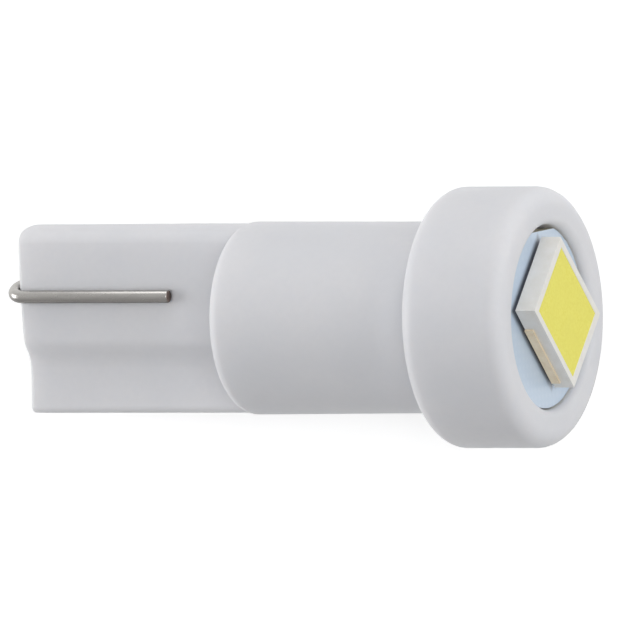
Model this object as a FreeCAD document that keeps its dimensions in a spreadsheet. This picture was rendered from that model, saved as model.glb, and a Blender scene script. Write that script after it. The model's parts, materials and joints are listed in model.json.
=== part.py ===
import FreeCAD, Part
import math
import os
import Sketcher
from FreeCAD import Placement, Rotation, Vector

# Wedge base LED bulb: a one-piece white housing with two folded contact wires,
# a small round board in its head and one surface-mount LED on the board.
# Each piece is drawn in the bulb's own frame: X runs along the bulb from the
# base end to the LED, Y across the wide face, Z out of it. At the end the whole
# bulb is laid down as it comes to rest. All sizes are in millimetres and degrees.

SIZES = [
    # Wedge base
    ("base_radius", 2.782, "radius of the base's curved side faces"),
    ("land_outer_z", 1.00, "half thickness of the raised land at the side"),
    ("land_inner_z", 0.94, "half thickness of the raised land at its step"),
    ("land_inner_y", 0.66, "place of the land's inner edge"),
    ("land_crown_radius", 26.0, "crown of the land"),
    ("flange_inner_z", 0.56, "half thickness of the thin flange at the step"),
    ("flange_inner_y", 1.14, "place of the foot of the step"),
    ("flange_outer_z", 0.65, "half thickness of the thin flange at the side"),
    ("land_side_fillet", 0.42, "rounding of the land's side edge"),
    ("flange_hollow_radius", 8.0, "radius of the flange's slightly hollow face"),
    ("land_step_fillet", 0.60, "rounding of the land's inner edge"),
    ("flange_foot_fillet", 0.75, "rounding at the foot of the step"),
    ("flange_side_fillet", 0.20, "rounding of the flange's side edge"),
    ("base_end_fillet", 0.12, "rounding round the base end"),
    # Neck and head
    ("base_length", 6.96, "base end to the rear of the neck"),
    ("neck_length", 6.68, "rear of the neck to the rear of the head"),
    ("neck_rear_radius", 2.835, "neck radius at its rear"),
    ("neck_front_radius", 2.80, "neck radius at the head"),
    ("neck_fillet", 0.20, "rounding of the neck's rear edge"),
    ("head_length", 3.24, "length of the head"),
    ("head_radius", 3.82, "radius of the head"),
    ("head_rear_fillet", 0.50, "rounding of the head's rear edge"),
    ("head_front_fillet", 0.53, "rounding of the head's front edge"),
    ("outer_share", 0.65, "largest share of a rim's width that its outer rounding takes"),
    ("inner_share", 0.20, "largest share of a rim's width that its inner bevel takes"),
    ("recess_radius", 2.91, "radius of the recess in the head's front"),
    ("recess_lip_bevel", 0.10, "bevel of the recess's edge"),
    ("board_depth", 0.28, "rim of the head to the face of the board"),
    ("bore_radius", 2.10, "radius of the hollow in the neck"),
    ("bore_floor", 0.75, "rear of the neck to the bottom of the hollow"),
    # Contact wires
    ("wire_radius", 0.19, "radius of a contact wire"),
    ("wire_clear", 0.02, "clearance round a wire in its channel"),
    ("wire_hole_y", 1.07, "place of a wire's hole in the base end"),
    ("wire_hole_z", 0.36, "height of a wire's hole in the base end"),
    ("wire_leg_y", 0.75, "place of a wire's outer leg"),
    ("wire_leg_z", 1.12, "height of a wire's outer leg"),
    ("wire_leg_end", 4.98, "base end to the cut end of a wire"),
    ("wire_proud", 0.43, "how far a wire's bend stands out of the base end"),
    ("wire_end_gap", 0.04, "free groove past a wire's cut end"),
    # Circuit board
    ("board_radius", 2.66, "radius of the board"),
    ("board_flat", 2.52, "centre of the board to its straight edge"),
    ("board_thick", 0.80, "thickness of the board"),
    ("copper_thick", 0.035, "thickness of the copper"),
    ("via_radius", 0.15, "radius of a plated hole"),
    ("via_y", 0.21, "place of a plated hole along the LED"),
    ("via_z", 1.05, "place of a plated hole across the LED"),
    # LED
    ("led_turn", 45.0, "turn of the LED about the bulb"),
    ("led_off_y", 0.14, "placement offset of the LED"),
    ("led_length", 3.50, "length of the LED"),
    ("led_width", 2.80, "width of the LED"),
    ("led_height", 0.62, "height of the LED's frame"),
    ("led_standoff", 0.12, "board face to the underside of the LED"),
    ("window_length", 3.04, "length of the LED's window"),
    ("window_width", 2.44, "width of the LED's window"),
    ("cup_length", 2.50, "length of the LED's cup at its floor"),
    ("cup_width", 1.94, "width of the LED's cup at its floor"),
    ("fill_drop", 0.02, "how far the phosphor lies below the frame"),
    ("plate_thick", 0.27, "thickness of the LED's lead frame"),
    ("plate_length", 2.40, "length of a terminal"),
    ("plate_shift", 0.30, "shift of a terminal from the middle"),
    ("plate_gap", 0.30, "gap between the two terminals"),
    ("plate_proud", 0.06, "how far a terminal stands out of the frame"),
    ("die_length", 0.75, "length of the die"),
    ("die_width", 0.50, "width of the die"),
    ("die_height", 0.12, "height of the die"),
    ("die_z", 0.62, "place of the die across the LED"),
    ("pad_margin", 0.06, "copper pad past the LED's terminal"),
    ("pad_inset", 0.15, "copper pad past the inner edge of the terminal"),
    ("solder_length", 1.60, "length of the LED's solder"),
    ("solder_reach", 0.05, "reach of the LED's solder past its terminal"),
    ("solder_rise", 0.12, "rise of a solder fillet"),
    ("chip_solder_reach", 0.16, "reach of the resistor's solder past its cap"),
    # Resistor and the copper on the board's back
    ("chip_length", 1.60, "length of the resistor"),
    ("chip_width", 0.80, "width of the resistor"),
    ("chip_height", 0.45, "height of the resistor"),
    ("cap_length", 0.30, "length of a resistor's end cap"),
    ("chip_standoff", 0.03, "solder under the resistor"),
    ("chip_pad_in", 0.45, "inner edge of a resistor's copper pad"),
    ("chip_pad_out", 1.12, "outer edge of a resistor's copper pad"),
    ("chip_pad_side", 0.45, "half width of a resistor's copper pad"),
    ("link_reach", 0.80, "reach of the link copper to its plated hole"),
    ("track_margin", 0.30, "copper round the axis of a wire"),
    ("return_reach", 1.15, "reach of the return copper to its plated hole"),
    ("return_inner", 0.60, "inner edge of the return copper"),
    ("joint_radius", 0.42, "radius of a wire's solder joint"),
    ("joint_tip", 0.26, "radius of a wire's solder joint at its tip"),
    ("joint_height", 0.45, "height of a wire's solder joint"),
]

doc = FreeCAD.newDocument("WedgeBaseLedBulb")
sheet = doc.addObject("Spreadsheet::Sheet", "Sizes")
for row, (alias, number, meaning) in enumerate(SIZES, start=1):
    sheet.set("A%d" % row, meaning)
    sheet.set("B%d" % row, str(number))
    sheet.setAlias("B%d" % row, alias)
doc.recompute()

# Shared positions along the bulb and shared combinations of sizes
S = "<<Sizes>>."
ZERO = "0"
NECK_REAR = S + "base_length"
HEAD_REAR = "(" + S + "base_length + " + S + "neck_length)"
RIM = "(" + HEAD_REAR + " + " + S + "head_length)"
BOARD_FRONT = "(" + RIM + " - " + S + "board_depth)"
BOARD_BACK = "(" + BOARD_FRONT + " - " + S + "board_thick)"
COPPER_BACK = "(" + BOARD_BACK + " - " + S + "copper_thick)"
BORE_FLOOR = "(" + NECK_REAR + " + " + S + "bore_floor)"
BEND_DY = "(" + S + "wire_hole_y - " + S + "wire_leg_y)"
BEND_DZ = "(" + S + "wire_leg_z - " + S + "wire_hole_z)"
BEND_SPAN = "sqrt(" + BEND_DY + "^2 + " + BEND_DZ + "^2)"
BEND_TURN = "atan(" + BEND_DY + " / " + BEND_DZ + ")"
BEND_X = "(" + BEND_SPAN + " / 2 + " + S + "wire_radius - " + S + "wire_proud)"
CHANNEL_RADIUS = "(" + S + "wire_radius + " + S + "wire_clear)"
STEP_WIDTH = "(" + S + "head_radius - " + S + "neck_front_radius)"
LIP_WIDTH = "(" + S + "head_radius - " + S + "recess_radius)"
HEAD_REAR_ROUND = "min(" + S + "head_rear_fillet; " + STEP_WIDTH + " * " + S + "outer_share)"
HEAD_FRONT_ROUND = "min(" + S + "head_front_fillet; " + LIP_WIDTH + " * " + S + "outer_share)"
LIP_BEVEL = "min(" + S + "recess_lip_bevel; " + LIP_WIDTH + " * " + S + "inner_share)"
HOLE_REACH = "sqrt(" + S + "wire_hole_y^2 + " + S + "wire_hole_z^2)"
CHIP_TURN = "(90 deg + atan(" + S + "wire_hole_z / " + S + "wire_hole_y))"
LED_TOP = "(" + S + "led_standoff + " + S + "led_height)"
CUP_FLOOR = "(" + S + "led_standoff + " + S + "plate_thick)"
FILL_TOP = "(" + LED_TOP + " - " + S + "fill_drop)"
FILL_SHARE = "(" + S + "fill_drop / (" + S + "led_height - " + S + "plate_thick))"
PLATE_IN = "(" + S + "plate_gap / 2)"
PLATE_OUT = "(" + S + "led_width / 2 + " + S + "plate_proud)"
PLATE_LOW = "(-" + S + "plate_shift - " + S + "plate_length / 2)"
PLATE_HIGH = "(" + S + "plate_length / 2 - " + S + "plate_shift)"
CHIP_BOTTOM = "(" + S + "copper_thick + " + S + "chip_standoff)"


def value(expression):
    """The number that an expression on the sheet stands for."""
    answer = sheet.evalExpression(expression)
    return float(getattr(answer, "Value", answer))


def minus(expression):
    return "-(" + expression + ")"


def plane(body, role):
    return [item for item in body.Origin.OriginFeatures if item.Role == role][0]


def new_body(label):
    body = doc.addObject("PartDesign::Body", label)
    body.Label = label
    return body


ABOUT_X = Vector(1, 0, 0)
ABOUT_Z = Vector(0, 0, 1)


def new_sketch(body, name, role, shift=(ZERO, ZERO, ZERO), turn=None, about=ABOUT_X):
    """A sketch on an origin plane, shifted and turned in the plane's own axes."""
    sketch = body.newObject("Sketcher::SketchObject", name)
    sketch.AttachmentSupport = [(plane(body, role), "")]
    sketch.MapMode = "FlatFace"
    angle = value(turn) if turn else 0.0
    base = Vector(*[value(part) for part in shift])
    sketch.AttachmentOffset = Placement(base, Rotation(about, angle))
    for axis, part in zip("xyz", shift):
        if part != ZERO:
            sketch.setExpression(".AttachmentOffset.Base." + axis, part)
    if turn:
        sketch.setExpression(".AttachmentOffset.Rotation.Angle", turn)
    return sketch


def hold(sketch, kind, geometry, point, expression):
    """Ties one coordinate of a sketch point to an expression."""
    if expression == ZERO:
        axis = -2 if kind == "DistanceX" else -1
        sketch.addConstraint(Sketcher.Constraint("PointOnObject", geometry, point, axis))
        return
    number = value(expression)
    index = sketch.addConstraint(Sketcher.Constraint(kind, -1, 1, geometry, point, number))
    sketch.setExpression("Constraints[%d]" % index, expression)


def draw_outline(sketch, corners, arcs=None, closed=True):
    """Straight sides between corners; arcs gives side number: (centre, radius, turns left).

    A corner is (x, y) with a third item naming which of them is tied: "xy", "x" or "y".
    """
    arcs = arcs or {}
    count = len(corners)
    spots = [Vector(value(corner[0]), value(corner[1]), 0) for corner in corners]
    ends = []
    for side in range(count if closed else count - 1):
        first, second = spots[side], spots[(side + 1) % count]
        if side not in arcs:
            geometry = sketch.addGeometry(Part.LineSegment(first, second), False)
            ends.append((geometry, 1, 2))
            continue
        centre, radius, left = arcs[side]
        size = value(radius)
        if centre is None:
            middle = (first + second) * 0.5
            chord = second - first
            across = Vector(-chord.y, chord.x, 0).normalize()
            depth = math.sqrt(size * size - (chord.Length / 2) ** 2)
            hub = middle + across * (depth if left else -depth)
        else:
            hub = Vector(value(centre[0]), value(centre[1]), 0)
        start, stop = (first, second) if left else (second, first)
        start_angle = math.atan2(start.y - hub.y, start.x - hub.x)
        stop_angle = math.atan2(stop.y - hub.y, stop.x - hub.x)
        if stop_angle < start_angle:
            stop_angle += 2 * math.pi
        circle = Part.Circle(hub, Vector(0, 0, 1), size)
        geometry = sketch.addGeometry(Part.ArcOfCircle(circle, start_angle, stop_angle), False)
        ends.append((geometry, 1, 2) if left else (geometry, 2, 1))
        index = sketch.addConstraint(Sketcher.Constraint("Radius", geometry, size))
        sketch.setExpression("Constraints[%d]" % index, radius)
        if centre is not None:
            hold(sketch, "DistanceX", geometry, 3, centre[0])
            hold(sketch, "DistanceY", geometry, 3, centre[1])
    for here, there in zip(ends, ends[1:] + (ends[:1] if closed else [])):
        sketch.addConstraint(Sketcher.Constraint("Coincident", here[0], here[2], there[0], there[1]))
    for number, corner in enumerate(corners):
        geometry, point = (ends[number][0], ends[number][1]) if number < len(ends) else (
            ends[-1][0], ends[-1][2])
        tied = corner[2] if len(corner) > 2 else "xy"
        if "x" in tied:
            hold(sketch, "DistanceX", geometry, point, corner[0])
        if "y" in tied:
            hold(sketch, "DistanceY", geometry, point, corner[1])
    return sketch


def draw_box(sketch, low_x, low_y, high_x, high_y):
    corners = [(low_x, low_y), (high_x, low_y), (high_x, high_y), (low_x, high_y)]
    return draw_outline(sketch, corners)


def draw_circle(sketch, x, y, radius):
    centre = Vector(value(x), value(y), 0)
    circle = Part.Circle(centre, Vector(0, 0, 1), value(radius))
    geometry = sketch.addGeometry(circle, False)
    hold(sketch, "DistanceX", geometry, 3, x)
    hold(sketch, "DistanceY", geometry, 3, y)
    index = sketch.addConstraint(Sketcher.Constraint("Radius", geometry, value(radius)))
    sketch.setExpression("Constraints[%d]" % index, radius)
    return sketch


def pad(body, name, sketch, length, down=False, middle=False):
    feature = body.newObject("PartDesign::Pad", name)
    feature.Profile = sketch
    feature.Length = value(length)
    feature.setExpression("Length", length)
    feature.Reversed = down
    feature.Midplane = middle
    doc.recompute()
    return feature


def pocket(body, name, sketch, length, up=False):
    before = body.Shape.Volume
    feature = body.newObject("PartDesign::Pocket", name)
    feature.Profile = sketch
    feature.Length = value(length)
    feature.setExpression("Length", length)
    feature.Reversed = up
    doc.recompute()
    if body.Shape.Volume >= before:
        raise RuntimeError(name + " cuts nothing")
    return feature


def revolution(body, name, sketch):
    feature = body.newObject("PartDesign::Revolution", name)
    feature.Profile = sketch
    feature.ReferenceAxis = (sketch, ["H_Axis"])
    feature.Angle = 360.0
    doc.recompute()
    return feature


def dress_edges(body, kind, measure, name, size, chosen):
    """Fillets or bevels the edges of the body for which chosen(edge) is true."""
    base = body.Tip
    names = ["Edge%d" % (number + 1) for number, edge in enumerate(base.Shape.Edges) if chosen(edge)]
    if not names:
        raise RuntimeError(name + " finds no edge")
    feature = body.newObject("PartDesign::" + kind, name)
    feature.Base = (base, names)
    feature.setExpression(measure, size)
    doc.recompute()


def fillet(body, name, radius, chosen):
    dress_edges(body, "Fillet", "Radius", name, radius, chosen)


def bevel(body, name, size, chosen):
    dress_edges(body, "Chamfer", "Size", name, size, chosen)


NEAR = 1e-4


def close_to(first, second):
    return abs(first - second) < NEAR


def is_ring(edge, station, radius):
    """A full or part circle about the bulb's axis at one station along it."""
    curve = edge.Curve
    if not isinstance(curve, Part.Circle):
        return False
    centre = curve.Center
    on_axis = close_to(centre.y, 0) and close_to(centre.z, 0)
    return on_axis and close_to(centre.x, station) and close_to(curve.Radius, radius)


def runs_along(edge, y, z):
    """An edge along the bulb through (y, z) or its twin half a turn away."""
    box = edge.BoundBox
    if box.XLength < NEAR or box.YLength > NEAR or box.ZLength > NEAR:
        return False
    at = edge.Vertexes[0].Point
    return any(close_to(at.y, sign * y) and close_to(at.z, sign * z) for sign in (1, -1))


# Housing
housing = new_body("housing")

# The base's section is cut from a circle. Each wide face has a raised land that
# carries a contact wire and, past a step, a thinner flange. Half a turn maps it
# onto itself.
LAND_SIDE_Y = "sqrt(" + S + "base_radius^2 - " + S + "land_outer_z^2)"
FLANGE_SIDE_Y = "sqrt(" + S + "base_radius^2 - " + S + "flange_outer_z^2)"
half_section = [
    (minus(FLANGE_SIDE_Y), S + "flange_outer_z", "y"),
    (minus(S + "flange_inner_y"), S + "flange_inner_z"),
    (minus(S + "land_inner_y"), S + "land_inner_z"),
    (LAND_SIDE_Y, S + "land_outer_z", "y"),
]
other_half = [(minus(corner[0]), minus(corner[1])) + tuple(corner[2:]) for corner in half_section]
CENTRE = (ZERO, ZERO)
section_arcs = {
    0: (None, S + "flange_hollow_radius", True),
    2: (None, S + "land_crown_radius", False),
    3: (CENTRE, S + "base_radius", False),
    4: (None, S + "flange_hollow_radius", True),
    6: (None, S + "land_crown_radius", False),
    7: (CENTRE, S + "base_radius", False),
}
base_section = new_sketch(housing, "BaseSection", "YZ_Plane")
draw_outline(base_section, half_section + other_half, section_arcs)
pad(housing, "BasePad", base_section, BORE_FLOOR + " - " + S + "bore_floor / 2")

fillet(housing, "LandSideFillet", S + "land_side_fillet",
       lambda edge: runs_along(edge, value(LAND_SIDE_Y), value(S + "land_outer_z")))
fillet(housing, "FlangeSideFillet", S + "flange_side_fillet",
       lambda edge: runs_along(edge, -value(FLANGE_SIDE_Y), value(S + "flange_outer_z")))
fillet(housing, "LandStepFillet", S + "land_step_fillet",
       lambda edge: runs_along(edge, -value(S + "land_inner_y"), value(S + "land_inner_z")))
fillet(housing, "FlangeFootFillet", S + "flange_foot_fillet",
       lambda edge: runs_along(edge, -value(S + "flange_inner_y"), value(S + "flange_inner_z")))
fillet(housing, "BaseEndFillet", S + "base_end_fillet",
       lambda edge: edge.BoundBox.XMax < NEAR and edge.BoundBox.XMin > -NEAR)

# Neck and head are one turned form.
turned = new_sketch(housing, "NeckAndHead", "XZ_Plane")
draw_outline(turned, [
    (NECK_REAR, ZERO),
    (NECK_REAR, S + "neck_rear_radius"),
    (HEAD_REAR, S + "neck_front_radius"),
    (HEAD_REAR, S + "head_radius"),
    (RIM, S + "head_radius"),
    (RIM, ZERO),
])
revolution(housing, "NeckAndHeadTurn", turned)
fillet(housing, "NeckFillet", S + "neck_fillet",
       lambda edge: is_ring(edge, value(NECK_REAR), value(S + "neck_rear_radius")))
fillet(housing, "HeadRearFillet", HEAD_REAR_ROUND,
       lambda edge: is_ring(edge, value(HEAD_REAR), value(S + "head_radius")))
fillet(housing, "HeadFrontFillet", HEAD_FRONT_ROUND,
       lambda edge: is_ring(edge, value(RIM), value(S + "head_radius")))

# The recess ends in a flat ledge for the board; the hollow behind it runs down the neck.
recess = new_sketch(housing, "Recess", "YZ_Plane", (ZERO, ZERO, RIM))
draw_circle(recess, ZERO, ZERO, S + "recess_radius")
pocket(housing, "RecessPocket", recess, S + "board_depth + " + S + "board_thick")
hollow = new_sketch(housing, "Hollow", "YZ_Plane", (ZERO, ZERO, RIM))
draw_circle(hollow, ZERO, ZERO, S + "bore_radius")
pocket(housing, "HollowPocket", hollow, RIM + " - " + BORE_FLOOR)
bevel(housing, "RecessLipBevel", LIP_BEVEL,
      lambda edge: is_ring(edge, value(RIM), value(S + "recess_radius")))


# Each wire has a hole through the wedge, a notch at the base end for its bend and a
# groove in the land for its leg. The second set is half a turn away.
wire_hole = new_sketch(housing, "WireHole", "YZ_Plane")
draw_circle(wire_hole, S + "wire_hole_y", S + "wire_hole_z", CHANNEL_RADIUS)
hole_cut = pocket(housing, "WireHoleCut", wire_hole, BORE_FLOOR, up=True)
wire_groove = new_sketch(housing, "WireGroove", "YZ_Plane")
draw_circle(wire_groove, S + "wire_leg_y", S + "wire_leg_z", CHANNEL_RADIUS)
groove_cut = pocket(housing, "WireGrooveCut", wire_groove,
                    S + "wire_leg_end + " + S + "wire_end_gap", up=True)
bend_notch = new_sketch(housing, "BendNotch", "YZ_Plane",
                        (S + "wire_hole_y", S + "wire_hole_z", ZERO), BEND_TURN, ABOUT_Z)
draw_box(bend_notch, minus(CHANNEL_RADIUS), ZERO, CHANNEL_RADIUS,
         BEND_SPAN + " + " + CHANNEL_RADIUS)
notch_cut = pocket(housing, "BendNotchCut", bend_notch, BEND_X, up=True)
before_twin = housing.Shape.Volume
twin_cuts = housing.newObject("PartDesign::PolarPattern", "TwinCuts")
twin_cuts.Originals = [hole_cut, groove_cut, notch_cut]
twin_cuts.Axis = (base_section, ["N_Axis"])
twin_cuts.Angle = 360.0
twin_cuts.Occurrences = 2
housing.Tip = twin_cuts
doc.recompute()
if housing.Shape.Volume >= before_twin:
    raise RuntimeError("the second wire's cuts cut nothing")

# Where each piece is drawn: in the bulb's frame, in the LED's or in the resistor's
BULB = Placement()
LED_SEAT = Placement(
    Vector(value(BOARD_FRONT), value(S + "led_off_y"), 0),
    Rotation(Vector(1, 0, 0), value(S + "led_turn")))
CHIP_SEAT = Placement(
    Vector(value(BOARD_BACK), 0, 0),
    Rotation(Vector(1, 0, 0), value(CHIP_TURN)))
HALF_TURN = Placement(Vector(0, 0, 0), Rotation(Vector(1, 0, 0), 180))
pieces = [(housing, BULB)]


# Contact wires: round tinned wire, one for each wide face
def contact_wire(label, seat):
    body = new_body(label)
    route = new_sketch(body, "WireRoute", "XZ_Plane",
                       (ZERO, S + "wire_hole_z", minus(S + "wire_hole_y")), BEND_TURN)
    draw_outline(route, [
        (COPPER_BACK, ZERO),
        (BEND_X, ZERO, "x"),
        (BEND_X, BEND_SPAN, "x"),
        (S + "wire_leg_end", BEND_SPAN),
    ], {1: ((BEND_X, BEND_SPAN + " / 2"), BEND_SPAN + " / 2", False)}, closed=False)
    section = new_sketch(body, "WireSection", "YZ_Plane", (ZERO, ZERO, COPPER_BACK))
    draw_circle(section, S + "wire_hole_y", S + "wire_hole_z", S + "wire_radius")
    sweep = body.newObject("PartDesign::AdditivePipe", "Wire")
    sweep.Profile = section
    sweep.Spine = (route, ["Edge1", "Edge2", "Edge3"])
    doc.recompute()
    pieces.append((body, seat))


contact_wire("contact_wire_front", BULB)
contact_wire("contact_wire_rear", HALF_TURN)

# Circuit board: a disc with one straight edge and two plated holes
board = new_body("circuit_board")
board_face = new_sketch(board, "BoardFace", "YZ_Plane", (ZERO, ZERO, BOARD_BACK))
flat_half = "sqrt(" + S + "board_radius^2 - " + S + "board_flat^2)"
draw_outline(board_face, [
    (S + "board_flat", minus(flat_half), "x"),
    (S + "board_flat", flat_half, "x"),
], {1: (CENTRE, S + "board_radius", True)})
pad(board, "BoardPad", board_face, S + "board_thick")
COS = "cos(" + S + "led_turn)"
SIN = "sin(" + S + "led_turn)"
VIA_SHIFT_Y = "(" + S + "via_y * " + COS + " + " + S + "via_z * " + SIN + ")"
VIA_SHIFT_Z = "(" + S + "via_z * " + COS + " - " + S + "via_y * " + SIN + ")"
ANODE_VIA = ("(" + S + "led_off_y - " + VIA_SHIFT_Y + ")", VIA_SHIFT_Z)
CATHODE_VIA = ("(" + S + "led_off_y + " + VIA_SHIFT_Y + ")", minus(VIA_SHIFT_Z))
via_holes = new_sketch(board, "ViaHoles", "YZ_Plane", (ZERO, ZERO, BOARD_FRONT))
draw_circle(via_holes, ANODE_VIA[0], ANODE_VIA[1], S + "via_radius")
draw_circle(via_holes, CATHODE_VIA[0], CATHODE_VIA[1], S + "via_radius")
pocket(board, "ViaPocket", via_holes, S + "board_thick")
pieces.append((board, BULB))


# Plated holes, filled: they join the copper on the two faces
def via(label, y, z):
    pin = doc.addObject("Part::Cylinder", label)
    pin.Label = label
    pin.setExpression("Radius", S + "via_radius")
    pin.setExpression("Height", S + "board_thick")
    spot = Placement(Vector(value(BOARD_BACK), value(y), value(z)), Rotation(Vector(0, 1, 0), 90))
    pieces.append((pin, spot))


via("via_anode", *ANODE_VIA)
via("via_cathode", *CATHODE_VIA)


# Flat copper and lead frame plates: a rectangle on the plane X = station, given a thickness
def plate(label, station, low_y, low_z, high_y, high_z, thickness, seat, down=False):
    body = new_body(label)
    face = new_sketch(body, "Face", "YZ_Plane", (ZERO, ZERO, station))
    draw_box(face, low_y, low_z, high_y, high_z)
    pad(body, "Plate", face, thickness, down=down)
    pieces.append((body, seat))
    return body


LED_TWIN = LED_SEAT.multiply(HALF_TURN)
PAD_INNER = "(" + PLATE_IN + " + " + S + "pad_inset)"
PAD_OUTER = "(" + PLATE_OUT + " + " + S + "pad_margin)"
for pole, seat in (("anode", LED_SEAT), ("cathode", LED_TWIN)):
    plate("copper_front_" + pole, ZERO, PLATE_LOW, PAD_INNER, PLATE_HIGH, PAD_OUTER,
          S + "copper_thick", seat)
    plate("led_terminal_" + pole, S + "led_standoff", PLATE_LOW, PLATE_IN, PLATE_HIGH, PLATE_OUT,
          S + "plate_thick", seat)

# LED frame: a white moulded box over the two terminals, with a tapered cup
led_frame = new_body("led_frame")
half_length = S + "led_length / 2"
half_width = S + "led_width / 2"
frame_foot = new_sketch(led_frame, "FrameFoot", "YZ_Plane", (ZERO, ZERO, S + "led_standoff"))
draw_box(frame_foot, minus(half_length), minus(half_width), half_length, half_width)
pad(led_frame, "FramePad", frame_foot, S + "led_height")
plates_cut = new_sketch(led_frame, "PlatesCut", "YZ_Plane", (ZERO, ZERO, S + "led_standoff"))
draw_box(plates_cut, PLATE_LOW, PLATE_IN, PLATE_HIGH, PLATE_OUT)
draw_box(plates_cut, minus(PLATE_HIGH), minus(PLATE_OUT), minus(PLATE_LOW), minus(PLATE_IN))
pocket(led_frame, "PlatesPocket", plates_cut, S + "plate_thick", up=True)


def tapered(body, kind, name, low_station, low, high_station, high):
    """A straight loft between two rectangles, each given as (half length, half width)."""
    ends = []
    for end, station, size in (("Floor", low_station, low), ("Mouth", high_station, high)):
        sketch = new_sketch(body, name + end, "YZ_Plane", (ZERO, ZERO, station))
        draw_box(sketch, minus(size[0]), minus(size[1]), size[0], size[1])
        ends.append(sketch)
    loft = body.newObject("PartDesign::" + kind, name)
    loft.Profile = ends[0]
    loft.Sections = [ends[1]]
    loft.Ruled = True
    doc.recompute()


cup_floor_size = (S + "cup_length / 2", S + "cup_width / 2")
window_size = (S + "window_length / 2", S + "window_width / 2")
frame_volume = led_frame.Shape.Volume
tapered(led_frame, "SubtractiveLoft", "Cup", CUP_FLOOR, cup_floor_size, LED_TOP, window_size)
if led_frame.Shape.Volume >= frame_volume:
    raise RuntimeError("the LED's cup cuts nothing")
pieces.append((led_frame, LED_SEAT))

# Phosphor: fills the cup round the die
led_phosphor = new_body("led_phosphor")
fill_size = tuple(
    "(" + window + " - (" + window + " - " + floor + ") * " + FILL_SHARE + ")"
    for window, floor in zip(window_size, cup_floor_size))
tapered(led_phosphor, "AdditiveLoft", "Fill", CUP_FLOOR, cup_floor_size, FILL_TOP, fill_size)
die_low_y = "(-" + S + "die_length / 2)"
die_high_y = "(" + S + "die_length / 2)"
die_low_z = "(-" + S + "die_z - " + S + "die_width / 2)"
die_high_z = "(" + S + "die_width / 2 - " + S + "die_z)"
die_room = new_sketch(led_phosphor, "DieRoom", "YZ_Plane", (ZERO, ZERO, CUP_FLOOR))
draw_box(die_room, die_low_y, die_low_z, die_high_y, die_high_z)
pocket(led_phosphor, "DiePocket", die_room, S + "die_height", up=True)
pieces.append((led_phosphor, LED_SEAT))

# Die: stands on the cathode's plate in the middle of its half of the cup
plate("led_die", CUP_FLOOR, die_low_y, die_low_z, die_high_y, die_high_z, S + "die_height",
      LED_SEAT)


# Solder under a terminal or a cap, with a sloped fillet outside it
def solder(label, role, low, high, foot, under, reach, rise, length, shift, seat, down=False):
    """low to high is the part in the joint; foot and under are the levels below and above it."""
    sign = "-" if down else ""
    outer = "(" + high + " + " + reach + ")"
    crest = "(" + under + " + " + rise + ")"
    body = new_body(label)
    profile = new_sketch(body, "Profile", role, (ZERO, ZERO, shift))
    draw_outline(profile, [
        (sign + foot, low),
        (sign + foot, outer),
        (sign + crest, high),
        (sign + under, high),
        (sign + under, low),
    ])
    pad(body, "Solder", profile, length, middle=True)
    pieces.append((body, seat))


for pole, seat in (("anode", LED_SEAT), ("cathode", LED_TWIN)):
    solder("led_solder_" + pole, "XZ_Plane", PAD_INNER, PLATE_OUT, S + "copper_thick",
           S + "led_standoff", S + "solder_reach", S + "solder_rise", S + "solder_length",
           S + "plate_shift", seat)

# Copper on the back: the rear wire feeds the resistor, the link takes it to the
# anode's plated hole, the front wire is joined to the cathode's
CHIP_TWIN = CHIP_SEAT.multiply(HALF_TURN)
TRACK_OUT = "(" + HOLE_REACH + " + " + S + "track_margin)"
TRACK_IN = "(" + HOLE_REACH + " - " + S + "track_margin)"
feed = new_body("copper_back_feed")
feed_face = new_sketch(feed, "Face", "YZ_Plane")
draw_outline(feed_face, [
    (minus(S + "chip_pad_out"), minus(S + "chip_pad_side")),
    (minus(S + "chip_pad_in"), minus(S + "chip_pad_side")),
    (minus(S + "chip_pad_in"), TRACK_IN),
    (S + "track_margin", TRACK_IN),
    (S + "track_margin", TRACK_OUT),
    (minus(S + "chip_pad_out"), TRACK_OUT),
])
pad(feed, "Plate", feed_face, S + "copper_thick", down=True)
pieces.append((feed, CHIP_SEAT))
plate("copper_back_link", ZERO, S + "chip_pad_in", minus(S + "chip_pad_side"), S + "chip_pad_out",
      S + "link_reach", S + "copper_thick", CHIP_SEAT, down=True)
plate("copper_back_return", ZERO, minus(S + "return_reach"), minus(TRACK_OUT), S + "track_margin",
      minus(S + "return_inner"), S + "copper_thick", CHIP_SEAT, down=True)


# Chip resistor: a ceramic block between two end caps
def chip_block(label, low_y, length, seat):
    block = doc.addObject("Part::Box", label)
    block.Label = label
    block.setExpression("Length", S + "chip_height")
    block.setExpression("Width", length)
    block.setExpression("Height", S + "chip_width")
    corner = Vector(-value(CHIP_BOTTOM) - value(S + "chip_height"), value(low_y),
                    -value(S + "chip_width") / 2)
    pieces.append((block, seat.multiply(Placement(corner, Rotation()))))


CERAMIC_HALF = "(" + S + "chip_length / 2 - " + S + "cap_length)"
chip_block("resistor_ceramic", minus(CERAMIC_HALF), CERAMIC_HALF + " * 2", CHIP_SEAT)
for end, seat in (("link", CHIP_SEAT), ("feed", CHIP_TWIN)):
    chip_block("resistor_cap_" + end, CERAMIC_HALF, S + "cap_length", seat)
    solder("resistor_solder_" + end, "XY_Plane", CERAMIC_HALF, S + "chip_length / 2",
           S + "copper_thick", CHIP_BOTTOM, S + "chip_solder_reach", S + "solder_rise",
           S + "chip_width", ZERO, seat, down=True)


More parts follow.
